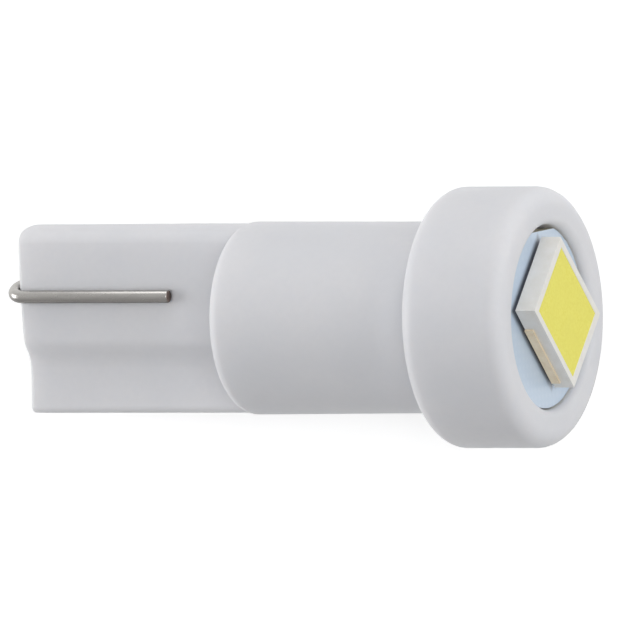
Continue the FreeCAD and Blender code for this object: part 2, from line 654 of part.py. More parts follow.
# Solder joint of a wire: a cone on the back copper round the wire's end
def wire_joint(label, seat):
    body = new_body(label)
    profile = new_sketch(body, "Profile", "XZ_Plane",
                         (COPPER_BACK, S + "wire_hole_z", minus(S + "wire_hole_y")))
    draw_outline(profile, [
        (ZERO, S + "wire_radius"),
        (ZERO, S + "joint_radius"),
        (minus(S + "joint_height"), S + "joint_tip"),
        (minus(S + "joint_height"), S + "wire_radius"),
    ])
    revolution(body, "Cone", profile)
    pieces.append((body, seat))


wire_joint("wire_joint_front", BULB)
wire_joint("wire_joint_rear", HALF_TURN)

# The bulb lies on its rear wide face: it touches the surface with the rear rounding
# of the neck and the rear rounding of the head, and the base stands clear of it.
neck_round = value(S + "neck_fillet")
head_round = value(HEAD_REAR_ROUND)
tilt_along = value(HEAD_REAR) + head_round - value(NECK_REAR) - neck_round
tilt_drop = value(S + "head_radius") - head_round - value(S + "neck_rear_radius") + neck_round
tilt_tip = head_round - neck_round
tilt = math.atan2(tilt_drop, tilt_along) + math.asin(tilt_tip / math.hypot(tilt_along, tilt_drop))

lying = Rotation(Vector(0, 1, 0), math.degrees(-tilt))
for piece, seat in pieces:
    piece.Placement = Placement(Vector(0, 0, 0), lying).multiply(seat)
doc.recompute()

# The origin is under the middle of the whole bulb, on the surface.
whole = Part.makeCompound([piece.Shape for piece, seat in pieces])
box = whole.optimalBoundingBox(False, False)
origin = Vector((box.XMin + box.XMax) / 2, (box.YMin + box.YMax) / 2, box.ZMin)
for piece, seat in pieces:
    piece.Placement = Placement(-origin, lying).multiply(seat)
doc.recompute()

for item in doc.Objects:
    if "Invalid" in item.State or "Error" in item.State:
        raise RuntimeError(item.Name + " failed: " + str(item.State))
for piece, seat in pieces:
    if piece.Shape.isNull() or not piece.Shape.isValid() or len(piece.Shape.Solids) != 1:
        raise RuntimeError(piece.Label + " is not one valid solid")

os.makedirs("parts", exist_ok=True)
for piece, seat in pieces:
    piece.Shape.exportStep("parts/" + piece.Label + ".step")
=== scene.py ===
import json
import math

import bmesh
import bpy
from mathutils import Matrix, Vector


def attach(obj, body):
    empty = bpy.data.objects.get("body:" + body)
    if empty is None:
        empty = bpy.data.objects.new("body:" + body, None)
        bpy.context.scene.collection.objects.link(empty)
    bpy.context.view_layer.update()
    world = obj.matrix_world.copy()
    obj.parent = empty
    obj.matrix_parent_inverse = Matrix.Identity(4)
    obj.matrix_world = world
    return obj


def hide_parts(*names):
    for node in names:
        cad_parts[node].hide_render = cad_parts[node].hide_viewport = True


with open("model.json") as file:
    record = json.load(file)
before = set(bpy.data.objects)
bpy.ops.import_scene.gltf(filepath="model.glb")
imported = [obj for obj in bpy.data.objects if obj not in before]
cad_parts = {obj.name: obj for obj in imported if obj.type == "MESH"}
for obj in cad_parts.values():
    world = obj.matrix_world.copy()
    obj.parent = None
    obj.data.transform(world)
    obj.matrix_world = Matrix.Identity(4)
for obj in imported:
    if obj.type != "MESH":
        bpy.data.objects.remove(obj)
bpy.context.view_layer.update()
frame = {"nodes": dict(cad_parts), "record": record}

# Wedge base LED bulb. Shapes are drawn in the bulb's own frame in millimetres, as in
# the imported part: X runs along the bulb from the base end to the LED, Y across the
# wide face, Z out of it. The frame's pieces say where that lies in the world. Sizes are
# the part's, apart from the neck's two fillets, the recess's radius and lip, and the
# pads and solder under the LED, which follow the photo.

MM = 0.001
nodes = frame["nodes"]

# Housing
BASE_LENGTH = 6.96
NECK_LENGTH = 6.68
HEAD_LENGTH = 3.24
HEAD_REAR = BASE_LENGTH + NECK_LENGTH
RIM = HEAD_REAR + HEAD_LENGTH
BASE_RADIUS = 2.782
BASE_END_FILLET = 0.12
LAND_OUTER_Z = 1.00
LAND_INNER_Z = 0.94
LAND_INNER_Y = 0.66
LAND_CROWN_RADIUS = 26.0
FLANGE_INNER_Y = 1.14
FLANGE_INNER_Z = 0.56
FLANGE_OUTER_Z = 0.65
FLANGE_HOLLOW_RADIUS = 8.0
LAND_SIDE_FILLET = 0.42
LAND_STEP_FILLET = 0.60
FLANGE_FOOT_FILLET = 0.75
FLANGE_SIDE_FILLET = 0.20
STRAIGHT = 1.0e5    # radius of a circle that passes for a straight side
NECK_REAR_RADIUS = 2.835
NECK_FRONT_RADIUS = 2.80
NECK_FILLET = 0.38
NECK_ROOT_FILLET = 0.08
HEAD_RADIUS = 3.82
HEAD_REAR_FILLET = 0.50
HEAD_FRONT_FILLET = 0.53
RECESS_RADIUS = 2.71
RECESS_LIP_FILLET = 0.22
BOARD_DEPTH = 0.28
BOARD_THICK = 0.80
COPPER_THICK = 0.035
LEDGE = RIM - BOARD_DEPTH - BOARD_THICK
BORE_RADIUS = 2.10
BORE_FLOOR = BASE_LENGTH + 0.75
CAP_SHARE = 0.25    # a flat end's last ring against its outer radius

# Contact wires. The hole and the leg have their middle lines at (y, z).
WIRE_RADIUS = 0.19
WIRE_CLEAR = 0.02
WIRE_HOLE = Vector((1.07, 0.36))
WIRE_LEG = Vector((0.75, 1.12))
WIRE_LEG_END = 4.98
WIRE_PROUD = 0.43
WIRE_INNER_END = LEDGE - COPPER_THICK
WIRE_NIP = 0.05
GROOVE_END = WIRE_LEG_END + 0.04
BEND_RADIUS = (WIRE_LEG - WIRE_HOLE).length / 2
BEND_OUTWARD = Vector((0, *(WIRE_LEG - WIRE_HOLE).normalized()))
FORWARD = Vector((1, 0, 0))

# LED and what joins it to the board, in its own frame: X up from the board, Y along the
# LED, Z across it
LED_TURN = math.radians(45)
LED_OFF_Y = 0.14
LED_STANDOFF = 0.12
LED_HALF_LENGTH = 1.75
LED_HALF_WIDTH = 1.40
# How far past the LED's outline the painted shadow on the mask reaches
PAINTED_SHADOW_REACH = 0.12
PLATE_LOW = -1.50
PLATE_HIGH = 0.90
PLATE_OUT = 1.46
PAD_INNER = 0.30
PAD_TUCK = 0.20
PAD_LOW = PLATE_LOW + PAD_TUCK
PAD_HIGH = PLATE_HIGH - PAD_TUCK
PAD_END = PLATE_OUT - PAD_TUCK
PAD_BEVEL = COPPER_THICK / 4
SOLDER_TUCK = 0.03
SOLDER_LOW = PAD_LOW + SOLDER_TUCK
SOLDER_HIGH = PAD_HIGH - SOLDER_TUCK
SOLDER_END = PAD_END - SOLDER_TUCK
SOLDER_NECK = 0.035
SOLDER_END_TAPER = 0.06

# How finely round forms are divided
TURN_STEPS = 192
FILLET_STEPS = 8
WIRE_STEPS = 40
BEND_STEPS = 20
SIDE_SPACING = 0.25
SIDE_STEPS_LEAST = 2

# Edges that turn by more degrees than these stay sharp in the shading
HOUSING_CREASE = 30.0
SMALL_CREASE = 40.0
CAD_CREASE = 35.0
FACE_WEIGHT = 90

# Roundings of the CAD nodes that show: width in millimetres and number of steps
LED_FRAME_ROUND = (0.06, 4)
TERMINAL_ROUND = (0.02, 3)

# Colours as seen on screen, 0 to 255; a pair is mixed by a pattern
HOUSING_PAIR = ((221, 222, 226), (226, 226, 229))
HOUSING_MOTTLE = (217, 218, 223)
# Wire: painted light on the side away from the bulb's middle, painted shade toward it, each
# mottled by streaks
PAINTED_LIGHT_PAIR = ((164, 162, 159), (182, 180, 176))
PAINTED_SHADE_PAIR = ((112, 110, 108), (132, 129, 126))
CUT_END = (134, 118, 110)
MASK_PAIR = ((196, 213, 231), (200, 216, 233))
# Painted shadow on the mask round the LED
PAINTED_SHADOW = (124, 131, 143)
LAMINATE_PAIR = ((206, 200, 168), (228, 224, 200))
PHOSPHOR_PAIR = ((232, 222, 60), (240, 233, 100))
PHOSPHOR_PATCH = (234, 226, 84)
PAPER_PAIR = ((232, 232, 232), (236, 236, 236))

# How far light scatters in white plastic: red, green and blue against one another
WHITE_SCATTER = (1.0, 0.95, 0.9)

# Where the wire's painted shade turns to painted light: shares of its radius past its middle
# line; where its cut end shows: millimetres before and past the end of its leg
PAINTED_LIGHT_FROM = 0.5
PAINTED_LIGHT_FULL = 0.9
CUT_FROM = 0.03
CUT_FULL = 0.005
CUT_PAST = 0.1

# Two shades mottled by grain, uneven gloss between two roughnesses, depth of the surface
# in millimetres, and fixed values of the shader
SIMPLE_LOOKS = {
    "copper": {
        "dark": (184, 112, 80), "light": (222, 150, 112), "grain": 5.0,
        "rough": (0.28, 0.45), "depth": 0.003, "Metallic": 1.0},
    "terminal_copper": {
        "dark": (239, 218, 184), "light": (249, 233, 205), "grain": 4.0,
        "rough": (0.35, 0.5), "depth": 0.002, "Metallic": 0.1},
    "led_white": {
        "dark": (233, 230, 223), "light": (240, 238, 234), "grain": 3.0,
        "rough": (0.42, 0.55), "depth": 0.003, "Subsurface_Weight": 0.2,
        "Subsurface_Scale": 0.0004, "Subsurface_Radius": WHITE_SCATTER},
    "die": {
        "dark": (80, 96, 150), "light": (120, 140, 190), "grain": 8.0,
        "rough": (0.1, 0.2), "depth": 0.001},
    "solder": {
        "dark": (158, 157, 155), "light": (188, 187, 184), "grain": 3.0,
        "rough": (0.25, 0.4), "depth": 0.001, "Metallic": 1.0},
    "chip_ceramic": {
        "dark": (34, 34, 36), "light": (60, 60, 64), "grain": 7.0,
        "rough": (0.3, 0.45), "depth": 0.005},
    "chip_cap": {
        "dark": (168, 167, 164), "light": (200, 199, 196), "grain": 6.0,
        "rough": (0.3, 0.45), "depth": 0.005, "Metallic": 1.0},
}
GLOSS_FINER = 1.7
SURFACE_FINER = 3.0

# Photograph: a camera far away that looks at the wide face and a little at the front.
# It shows what lies between its distance over CLIP_NEAR and its distance times CLIP_FAR.
PIXELS = 630
MM_PER_PIXEL = 0.0293
FOCAL_PIXELS = 20000
VIEW_ANGLE = math.radians(64.05)
VIEW_ROLL = math.radians(5.4)
SCREEN_ROLL = math.radians(0.18)
VIEW_CENTRE = 9.156
VIEW_RISE = 0.081
SENSOR = 36.0
CLIP_NEAR = 10
CLIP_FAR = 20

# Stage, in metres. The surroundings show as white and light what is matt by WORLD_LEVEL;
# the floor adds FLOOR_GLOW to its own shade where it shows.
LIGHT_DISTANCE = 0.30
FLOOR_HALF = 0.6
WORLD_LEVEL = 0.28
FLOOR_GLOW = 0.55
PAPER_GRAIN = 40.0


# The bulb's frame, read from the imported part

def middle(*names):
    spots = [vertex.co for name in names for vertex in nodes[name].data.vertices]
    return sum(spots, Vector()) / len(spots)


def find_bulb_frame():
    """Matrix that takes millimetres in the bulb's frame to metres in the world."""
    wires = middle("contact_wire_front", "contact_wire_rear")
    joints = middle("wire_joint_front", "wire_joint_rear")
    along = (joints - wires).normalized()
    base_end = min(vertex.co.dot(along) for vertex in nodes["housing"].data.vertices)
    origin = wires + along * (base_end - wires.dot(along))
    holes = middle("wire_joint_front") - middle("wire_joint_rear")
    holes = (holes - along * holes.dot(along)).normalized()
    beside = along.cross(holes)
    angle = math.atan2(WIRE_HOLE.y, WIRE_HOLE.x)
    across = holes * math.cos(angle) - beside * math.sin(angle)
    outward = holes * math.sin(angle) + beside * math.cos(angle)
    turn = Matrix((along, across, outward)).transposed().to_4x4()
    return Matrix.Translation(origin) @ turn @ Matrix.Scale(MM, 4)


BULB = find_bulb_frame()
ALONG, ACROSS, OUTWARD = [BULB.col[index].xyz.normalized() for index in range(3)]


# Shader nodes

def linear(red, green, blue):
    """A colour as seen on screen, 0 to 255, as the shader's linear values."""
    levels = [level / 255 for level in (red, green, blue)]
    return tuple(level / 12.92 if level < 0.04045 else ((level + 0.055) / 1.055) ** 2.4
                 for level in levels) + (1.0,)


def add_node(tree, kind, inputs=None, **settings):
    made = tree.nodes.new("ShaderNode" + kind)
    for key, setting in settings.items():
        setattr(made, key, setting)
    for socket, given in (inputs or {}).items():
        if isinstance(given, bpy.types.NodeSocket):
            tree.links.new(given, made.inputs[socket])
        else:
            made.inputs[socket].default_value = given
    return made


def maths(tree, operation, *given):
    return add_node(tree, "Math", dict(enumerate(given)), operation=operation).outputs[0]


def dot(tree, given, axis):
    made = add_node(tree, "VectorMath", {0: given, 1: axis}, operation="DOT_PRODUCT")
    return made.outputs["Value"]


def object_place(tree):
    return add_node(tree, "TexCoord").outputs["Object"]


def bulb_place(tree):
    """Each surface point's place in the bulb's frame, in millimetres, and its three parts."""
    offset = add_node(tree, "VectorMath", {0: object_place(tree), 1: BULB.to_translation()},
                      operation="SUBTRACT")
    parts = [dot(tree, offset.outputs[0], axis / MM) for axis in (ALONG, ACROSS, OUTWARD)]
    joined = add_node(tree, "CombineXYZ", dict(enumerate(parts)))
    return joined.outputs[0], parts


def noise(tree, place, scale, detail=3.0, stretch=None):
    if stretch:
        place = add_node(tree, "Mapping", {"Vector": place, "Scale": stretch}).outputs[0]
    made = add_node(tree, "TexNoise", {"Vector": place, "Scale": scale, "Detail": detail})
    return made.outputs["Fac"]


def between(tree, factor, low=0.0, high=1.0, first=0.3, last=0.7):
    """Maps a factor from first..last to low..high, clamped."""
    made = add_node(tree, "MapRange", {"Value": factor, "From Min": first, "From Max": last,
                                       "To Min": low, "To Max": high})
    return made.outputs["Result"]


def mixed(tree, factor, first, second):
    """A colour between two, each a colour or a socket."""
    made = add_node(tree, "Mix", {"Factor": factor}, data_type="RGBA")
    for socket, given in ((made.inputs[6], first), (made.inputs[7], second)):
        if isinstance(given, bpy.types.NodeSocket):
            tree.links.new(given, socket)
        else:
            socket.default_value = given
    return made.outputs[2]


def shaded(tree, factor, pair):
    return mixed(tree, factor, linear(*pair[0]), linear(*pair[1]))


# Materials

def new_material(name, **settings):
    """A material with its shader's fixed values, its node tree, shader and bulb coordinates."""
    material = bpy.data.materials.new(name)
    material.use_nodes = True
    tree = material.node_tree
    shader = tree.nodes["Principled BSDF"]
    for socket, setting in settings.items():
        shader.inputs[socket.replace("_", " ")].default_value = setting
    place, parts = bulb_place(tree)
    return material, tree, shader, place, parts


def set_surface(tree, shader, colour, rough):
    tree.links.new(colour, shader.inputs["Base Color"])
    tree.links.new(rough, shader.inputs["Roughness"])


def set_bump(tree, shader, height, depth, strength):
    """Bump with its height from 0 to 1 meaning depth in millimetres."""
    bump = add_node(tree, "Bump", {"Strength": strength, "Distance": depth * MM,
                                   "Height": height})
    tree.links.new(bump.outputs[0], shader.inputs["Normal"])


def housing_white():
    material, tree, shader, place, _ = new_material(
        "housing_white", Specular_IOR_Level=0.2, Subsurface_Weight=0.5,
        Subsurface_Radius=WHITE_SCATTER, Subsurface_Scale=0.0010)
    cloud = noise(tree, place, scale=0.45, detail=2.0)
    mottle = noise(tree, place, scale=5.0, detail=4.0)
    base = shaded(tree, between(tree, cloud), HOUSING_PAIR)
    base = mixed(tree, between(tree, mottle, high=0.25), base, linear(*HOUSING_MOTTLE))
    gloss = noise(tree, place, scale=9.0, detail=5.0)
    set_surface(tree, shader, base, between(tree, gloss, low=0.40, high=0.52))
    fine = noise(tree, place, scale=22.0)
    set_bump(tree, shader, fine, depth=0.003, strength=0.4)
    return material


def tinned_wire():
    """Painted light away from the middle of the face, painted shade toward it; duller at the
    cut end.
    """
    material, tree, shader, place, parts = new_material("tinned_wire", Metallic=1.0)
    streak = noise(tree, place, scale=9.0, detail=4.0, stretch=(0.12, 1.0, 1.0))
    painted_lit = shaded(tree, streak, PAINTED_LIGHT_PAIR)
    painted_shaded = shaded(tree, streak, PAINTED_SHADE_PAIR)
    # Painted shade: the wire's side toward the bulb's middle, low on screen, is darkened in its
    # colour
    upper = between(tree, maths(tree, "ABSOLUTE", parts[1]),
                    first=WIRE_LEG.x - WIRE_RADIUS * PAINTED_LIGHT_FROM,
                    last=WIRE_LEG.x + WIRE_RADIUS * PAINTED_LIGHT_FULL)
    base = mixed(tree, upper, painted_shaded, painted_lit)
    cut = between(tree, parts[0], first=WIRE_LEG_END - CUT_FROM, last=WIRE_LEG_END - CUT_FULL)
    cut = maths(tree, "MULTIPLY", cut,
                maths(tree, "LESS_THAN", parts[0], WIRE_LEG_END + CUT_PAST))
    base = mixed(tree, cut, base, linear(*CUT_END))
    gloss = noise(tree, place, scale=6.0, detail=4.0, stretch=(0.3, 1.0, 1.0))
    set_surface(tree, shader, base, between(tree, gloss, low=0.21, high=0.32))
    set_bump(tree, shader, streak, depth=0.002, strength=0.4)
    return material


def simple(name, dark, light, grain, rough, depth, **settings):
    """A material with two shades mottled by grain, uneven gloss and a fine surface."""
    material, tree, shader, place, _ = new_material(name, **settings)
    mottle = noise(tree, place, scale=grain, detail=4.0)
    base = shaded(tree, between(tree, mottle), (dark, light))
    gloss = noise(tree, place, scale=grain * GLOSS_FINER)
    set_surface(tree, shader, base, between(tree, gloss, low=rough[0], high=rough[1]))
    fine = noise(tree, place, scale=grain * SURFACE_FINER)
    set_bump(tree, shader, fine, depth, strength=0.6)
    return material


def led_nearness(tree, parts):
    """1 under the LED, falling to 0 a little past its outline: the reach of the painted shadow
    round the LED.
    """
    def distance(first_share, second_share, shift):
        scaled = maths(tree, "MULTIPLY", parts[1], first_share)
        both = maths(tree, "MULTIPLY_ADD", parts[2], second_share, scaled)
        return maths(tree, "ABSOLUTE", maths(tree, "ADD", both, shift))

    cosine, sine = math.cos(LED_TURN), math.sin(LED_TURN)
    length = distance(cosine, sine, -LED_OFF_Y * cosine)
    width = distance(-sine, cosine, LED_OFF_Y * sine)
    furthest = maths(tree, "MAXIMUM", maths(tree, "SUBTRACT", length, LED_HALF_LENGTH),
                     maths(tree, "SUBTRACT", width, LED_HALF_WIDTH))
    return between(tree, furthest, low=1.0, high=0.0, first=-PAINTED_SHADOW_REACH / 2,
                   last=PAINTED_SHADOW_REACH)


def solder_mask():
    """Pale mask over a glass weave on the faces, with a painted shadow round the LED; bare
    laminate in layers on the edge.
    """
    material, tree, shader, place, parts = new_material(
        "solder_mask", Specular_IOR_Level=0.5, Coat_Weight=0.3, Coat_Roughness=0.15)
    threads = [add_node(tree, "TexWave", {"Vector": place, "Scale": 1.3, "Distortion": 0.6},
                        bands_direction=direction) for direction in ("Y", "Z")]
    weave = maths(tree, "MULTIPLY", *[thread.outputs["Fac"] for thread in threads])
    # Painted shadow: the mask is darkened round the LED's outline
    mask = mixed(tree, led_nearness(tree, parts), shaded(tree, weave, MASK_PAIR),
                 linear(*PAINTED_SHADOW))
    layers = noise(tree, place, scale=3.0, stretch=(8.0, 1.0, 1.0))
    normal = add_node(tree, "NewGeometry").outputs["True Normal"]
    flat = between(tree, maths(tree, "ABSOLUTE", dot(tree, normal, ALONG)), first=0.5, last=0.6)
    base = mixed(tree, flat, shaded(tree, layers, LAMINATE_PAIR), mask)
    gloss = noise(tree, place, scale=4.0)
    set_surface(tree, shader, base, between(tree, gloss, low=0.30, high=0.40))
    set_bump(tree, shader, weave, depth=0.003, strength=0.5)
    return material


def phosphor():
    material, tree, shader, place, _ = new_material("phosphor", Coat_Weight=0.25,
                                                    Coat_Roughness=0.25)
    grain = noise(tree, place, scale=14.0, detail=5.0)
    patch = noise(tree, place, scale=1.2, detail=2.0)
    base = shaded(tree, between(tree, grain), PHOSPHOR_PAIR)
    base = mixed(tree, between(tree, patch, high=0.5), base, linear(*PHOSPHOR_PATCH))
    set_surface(tree, shader, base, between(tree, grain, low=0.42, high=0.58))
    set_bump(tree, shader, grain, depth=0.01, strength=0.4)
    return material


def make_materials():
    """Each slot's material."""
    materials = {"housing_white": housing_white(), "solder_mask": solder_mask(),
                 "tinned_wire": tinned_wire(), "phosphor": phosphor()}
    for name, look in SIMPLE_LOOKS.items():
        materials[name] = simple(name, **look)
    return materials


MATERIALS = make_materials()


def dress():
    """Every shown CAD node gets the material of its slot in the record."""
    for subpart in frame["record"]["subparts"]:
        node = nodes[subpart["node"]]
        node.data.materials.clear()
        node.data.materials.append(MATERIALS[subpart["material_slot"]])


# Mesh helpers

def add_piece(name, mesh, replaced, slot):
    """A mesh in the bulb's frame becomes a piece that stands for CAD nodes."""
    mesh.transform(BULB)
    mesh.materials.append(MATERIALS[slot])
    piece = bpy.data.objects.new(name, mesh)
    bpy.context.scene.collection.objects.link(piece)
    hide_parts(*replaced)
    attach(piece, "root")
    return piece


def ring_mesh(name, rings):
    """Skin over rings with the same number of points, with flat ends."""
    mesh = bpy.data.meshes.new(name)
    build = bmesh.new()
    rows = [[build.verts.new(point) for point in ring] for ring in rings]
    for first, second in zip(rows, rows[1:]):
        for index in range(len(first)):
            following = (index + 1) % len(first)
            build.faces.new((first[index], first[following], second[following], second[index]))
    build.faces.new(list(reversed(rows[0])))
    build.faces.new(rows[-1])
    bmesh.ops.recalc_face_normals(build, faces=build.faces)
    build.to_mesh(mesh)
    build.free()
    return mesh


def turned_mesh(name, profile):
    """Turns a profile of (x, radius) about the bulb's axis."""
    angles = [2 * math.pi * step / TURN_STEPS for step in range(TURN_STEPS)]
    return ring_mesh(name, [[Vector((x, radius * math.cos(angle), radius * math.sin(angle)))
                             for angle in angles] for x, radius in profile])


def combined(mesh, tools, operation):
    """The mesh joined with or cut by other meshes."""
    body = bpy.data.objects.new("body", mesh)
    bpy.context.scene.collection.objects.link(body)
    helpers = []
    for tool in tools:
        helper = bpy.data.objects.new("tool", tool)
        bpy.context.scene.collection.objects.link(helper)
        change = body.modifiers.new("Change", "BOOLEAN")
        change.operation = operation
        change.solver = "EXACT"
        change.object = helper
        helpers.append(helper)
    graph = bpy.context.evaluated_depsgraph_get()
    result = bpy.data.meshes.new_from_object(body.evaluated_get(graph))
    result.name = mesh.name
    for item in [body] + helpers:
        used = item.data
        bpy.data.objects.remove(item)
        bpy.data.meshes.remove(used)
    return result


def smooth(mesh, crease):
    mesh.shade_smooth()
    mesh.set_sharp_from_angle(angle=math.radians(crease))


def even_out(piece):
    """Lets large flat faces set the shading next to small round ones."""
    change = piece.modifiers.new("Normals", "WEIGHTED_NORMAL")
    change.keep_sharp = True
    change.weight = FACE_WEIGHT


def soften(piece, width, steps):
    """Rounds the sharp edges of a CAD node's shown form."""
    change = piece.modifiers.new("Edges", "BEVEL")
    change.width = width * MM
    change.segments = steps
    change.limit_method = "ANGLE"
    change.angle_limit = math.radians(CAD_CREASE)
    change.harden_normals = False
    smooth(piece.data, CAD_CREASE)
    even_out(piece)


# Outlines with rounded corners

def bearing(direction):
    return math.atan2(direction.y, direction.x)


def sweep_between(first, last):
    """The signed angle from one direction to another."""
    return math.atan2(first.x * last.y - first.y * last.x, first.dot(last))


def arc(centre, radius, start, end, steps=FILLET_STEPS):
    """Points and normals on an arc from direction start to direction end.

    The normals point away from the centre, or toward it if the radius is negative.
    """
    sign = math.copysign(1, radius)
    first, sweep = bearing(start), sweep_between(start, end)
    spots = []
    for step in range(steps + 1):
        angle = first + sweep * step / steps
        normal = Vector((math.cos(angle), math.sin(angle)))
        spots.append((centre + normal * abs(radius), normal * sign))
    return spots


def fillet_profile(corners):
    """Points of a profile whose corners (x, y, radius) are rounded between straight sides."""
    points = []
    for index, (x, y, radius) in enumerate(corners):
        corner = Vector((x, y))
        if not radius:
            points.append(corner)
            continue
        before = (Vector(corners[index - 1][:2]) - corner).normalized()
        after = (Vector(corners[(index + 1) % len(corners)][:2]) - corner).normalized()
        half = before.angle(after) / 2
        centre = corner + (before + after).normalized() * radius / math.sin(half)
        reach = radius / math.tan(half)
        start, end = corner + before * reach - centre, corner + after * reach - centre
        points += [spot for spot, _ in arc(centre, radius, start, end)]
    return points


def side_circle(first, last, radius):
    """Centre of the circle through two points.

    It bulges to the left of the way from first to last, or to the right if the radius is
    negative, which makes the side hollow.
    """
    halfway = (first + last) / 2
    chord = last - first
    left = Vector((-chord.y, chord.x)).normalized()
    depth = math.sqrt(radius * radius - (chord.length / 2) ** 2)
    return halfway - left * math.copysign(depth, radius)


def meeting_point(first, first_radius, second, second_radius, near):
    """The crossing of two circles that lies nearest to a point."""
    gap = second - first
    along = (first_radius ** 2 - second_radius ** 2 + gap.length_squared) / (2 * gap.length)
    up = math.sqrt(max(first_radius ** 2 - along ** 2, 0.0))
    unit = gap.normalized()
    side = Vector((-unit.y, unit.x))
    options = [first + unit * along + side * up, first + unit * along - side * up]
    return min(options, key=lambda option: (option - near).length)


def wedge_outline():
    """Points and outward normals round the base's section, clockwise, all corners rounded."""
    flange_side = math.sqrt(BASE_RADIUS ** 2 - FLANGE_OUTER_Z ** 2)
    land_side = math.sqrt(BASE_RADIUS ** 2 - LAND_OUTER_Z ** 2)
    # each corner, its fillet and the radius of the side that follows; negative is hollow
    half = [
        (Vector((-flange_side, FLANGE_OUTER_Z)), FLANGE_SIDE_FILLET, -FLANGE_HOLLOW_RADIUS),
        (Vector((-FLANGE_INNER_Y, FLANGE_INNER_Z)), -FLANGE_FOOT_FILLET, STRAIGHT),
        (Vector((-LAND_INNER_Y, LAND_INNER_Z)), LAND_STEP_FILLET, LAND_CROWN_RADIUS),
        (Vector((land_side, LAND_OUTER_Z)), LAND_SIDE_FILLET, BASE_RADIUS),
    ]
    corners = half + [(-spot, fillet, side) for spot, fillet, side in half]
    count = len(corners)
    hubs = [side_circle(corners[index][0], corners[(index + 1) % count][0], corners[index][2])
            for index in range(count)]
    bends = []
    for index, (spot, fillet, side) in enumerate(corners):
        hub, before_hub, before_side = hubs[index], hubs[index - 1], corners[index - 1][2]
        centre = meeting_point(before_hub, before_side - fillet, hub, side - fillet, spot)
        sign = math.copysign(1, fillet)
        start = (centre - before_hub).normalized() * sign * math.copysign(1, before_side)
        end = (centre - hub).normalized() * sign * math.copysign(1, side)
        bends.append(arc(centre, fillet, start, end))
    outline = []
    for index, bend in enumerate(bends):
        hub, side = hubs[index], corners[index][2]
        start, end = bend[-1][0] - hub, bends[(index + 1) % count][0][0] - hub
        length = abs(sweep_between(start, end) * side)
        steps = max(SIDE_STEPS_LEAST, round(length / SIDE_SPACING))
        outline += bend + arc(hub, side, start, end, steps)[1:-1]
    return outline


# Tubes that follow the wires

def wire_path(last, inner_end):
    """(point, direction) along the front wire: up its hole, round the bend, along its leg."""
    bend_x = BEND_RADIUS + WIRE_RADIUS - WIRE_PROUD
    centre = Vector((bend_x, *(WIRE_HOLE + WIRE_LEG) / 2))
    path = [(Vector((inner_end, *WIRE_HOLE)), -FORWARD)]
    for step in range(BEND_STEPS + 1):
        angle = math.pi * step / BEND_STEPS
        arm = BEND_OUTWARD * math.cos(angle) + FORWARD * math.sin(angle)
        path.append((centre - arm * BEND_RADIUS,
                     BEND_OUTWARD * math.sin(angle) - FORWARD * math.cos(angle)))
    path.append((Vector((last, *WIRE_LEG)), FORWARD))
    return path


def tube_mesh(name, stations, half_turn):
    """A tube through stations (point, direction, radius) in the plane of the front wire.

    The rear wire's is turned by half a turn about the bulb's axis.
    """
    side = BEND_OUTWARD.cross(FORWARD)
    rings = []
    for spot, direction, radius in stations:
        other = direction.cross(side)
        ring = []
        for step in range(WIRE_STEPS):
            angle = 2 * math.pi * step / WIRE_STEPS
            ring.append(spot + (side * math.cos(angle) + other * math.sin(angle)) * radius)
        rings.append(ring)
    mesh = ring_mesh(name, rings)
    if half_turn:
        mesh.transform(Matrix.Rotation(math.pi, 4, "X"))
    return mesh


# Housing

def wedge_mesh():
    """The base: its section run along the bulb, rounded over at the base end."""
    outline = wedge_outline()
    stations = []
    for step in range(FILLET_STEPS + 1):
        angle = math.pi / 2 * step / FILLET_STEPS
        stations.append((BASE_END_FILLET * (1 - math.cos(angle)),
                         BASE_END_FILLET * (1 - math.sin(angle))))
    stations += [(BASE_LENGTH / 2, 0.0), ((BASE_LENGTH + BORE_FLOOR) / 2, 0.0)]
    return ring_mesh("wedge", [[(x, *(spot - normal * inset)) for spot, normal in outline]
                               for x, inset in stations])


def turned_body_mesh():
    """Neck, head, recess and bore, turned about the bulb's axis."""
    return turned_mesh("housing_shell", fillet_profile([
        (BASE_LENGTH, NECK_REAR_RADIUS * CAP_SHARE, 0),
        (BASE_LENGTH, NECK_REAR_RADIUS, NECK_FILLET),
        (HEAD_REAR, NECK_FRONT_RADIUS, NECK_ROOT_FILLET),
        (HEAD_REAR, HEAD_RADIUS, HEAD_REAR_FILLET),
        (RIM, HEAD_RADIUS, HEAD_FRONT_FILLET),
        (RIM, RECESS_RADIUS, RECESS_LIP_FILLET),
        (LEDGE, RECESS_RADIUS, 0),
        (LEDGE, BORE_RADIUS, 0),
        (BORE_FLOOR, BORE_RADIUS, 0),
        (BORE_FLOOR, BORE_RADIUS * CAP_SHARE, 0),
    ]))


def wire_cutters():
    """The hole, the notch and the groove of each wire, as one cutting body each."""
    radius = WIRE_RADIUS + WIRE_CLEAR
    stations = [(spot, direction, radius)
                for spot, direction in wire_path(GROOVE_END, BORE_FLOOR + radius)]
    return [tube_mesh("cutter", stations, half_turn) for half_turn in (False, True)]


def make_housing():
    shell = combined(turned_body_mesh(), [wedge_mesh()], "UNION")
    shell = combined(shell, wire_cutters(), "DIFFERENCE")
    smooth(shell, HOUSING_CREASE)
    even_out(add_piece("housing_shell", shell, ["housing"], "housing_white"))


# Contact wires

